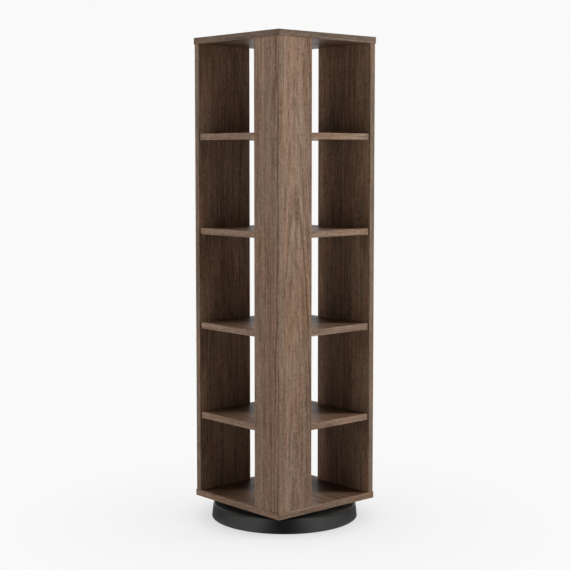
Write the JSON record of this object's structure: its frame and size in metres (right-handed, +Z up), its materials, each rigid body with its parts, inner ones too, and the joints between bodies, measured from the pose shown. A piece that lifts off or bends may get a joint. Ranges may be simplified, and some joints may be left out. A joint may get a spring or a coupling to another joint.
{
  "type": "rotating media tower",
  "caption": "Tall square open-tier media tower in walnut-look board that turns on a low round black base, with a corner post and side panels.",
  "frame": {"origin": "on the floor, on the axis that the tower turns about", "axes": "+Z up along that axis; the corner post stands at +X -Y, with the left face along -Y and the right face along +X"},
  "size_m": [0.372, 0.372, 1.2145],
  "materials": {
    "walnut_laminate": "satin woodgrain laminate",
    "walnut_edge_band": "satin woodgrain strip",
    "base_black": "fine moulded texture",
    "weight_steel": "black paint",
    "foot_rubber": "matt",
    "bearing_aluminium": "turned and black anodised",
    "ball_steel": "polished",
    "cage_nylon": "natural nylon",
    "screw_steel": "zinc plated",
    "cam_zinc": "die cast",
    "beech": "turned, bare",
    "cap_brown": "woodgrain print"
  },
  "bodies": {
    "base": {"base_shell": "base_black", "base_weight_plate": "weight_steel", "weight_plate_screws": "screw_steel", "rubber_feet": "foot_rubber", "bearing_outer_ring": "bearing_aluminium", "outer_ring_screws": "screw_steel"},
    "ball_set": {"bearing_balls": "ball_steel", "bearing_cage": "cage_nylon"},
    "tower": {"bearing_inner_ring": "bearing_aluminium", "bottom_dowels": "beech", "bottom_panel": "walnut_laminate", "bottom_panel_edge_bands": "walnut_edge_band", "cam_cover_caps": "cap_brown", "front_post_left_board": "walnut_laminate", "front_post_left_board_edge_bands": "walnut_edge_band", "front_post_right_board": "walnut_laminate", "front_post_right_board_edge_bands": "walnut_edge_band", "inner_ring_screws": "screw_steel", "left_side_panel": "walnut_laminate", "left_side_panel_edge_bands": "walnut_edge_band", "post_corner_dowels": "beech", "right_side_panel": "walnut_laminate", "right_side_panel_edge_bands": "walnut_edge_band", "shelf_1": "walnut_laminate", "shelf_1_edge_bands": "walnut_edge_band", "shelf_2": "walnut_laminate", "shelf_2_edge_bands": "walnut_edge_band", "shelf_3": "walnut_laminate", "shelf_3_edge_bands": "walnut_edge_band", "shelf_4": "walnut_laminate", "shelf_4_edge_bands": "walnut_edge_band", "shelf_cam_bolts": "screw_steel", "shelf_cam_locks": "cam_zinc", "shelf_dowels": "beech", "top_cam_bolts": "screw_steel", "top_cam_locks": "cam_zinc", "top_dowels": "beech", "top_panel": "walnut_laminate", "top_panel_edge_bands": "walnut_edge_band", "upright_screws": "screw_steel"}
  },
  "joints": [
    {"name": "tower_spin", "type": "hinge", "parent": "base", "child": "tower", "pos_m": [0, 0, 0.0435], "axis": [0, 0, 1], "continuous": true},
    {"name": "ball_set_spin", "type": "hinge", "parent": "base", "child": "ball_set", "pos_m": [0, 0, 0.0435], "axis": [0, 0, 1], "continuous": true}
  ],
  "couplings": [
    {"joint": "ball_set_spin", "follows": "tower_spin", "ratio": 0.4942}
  ]
}
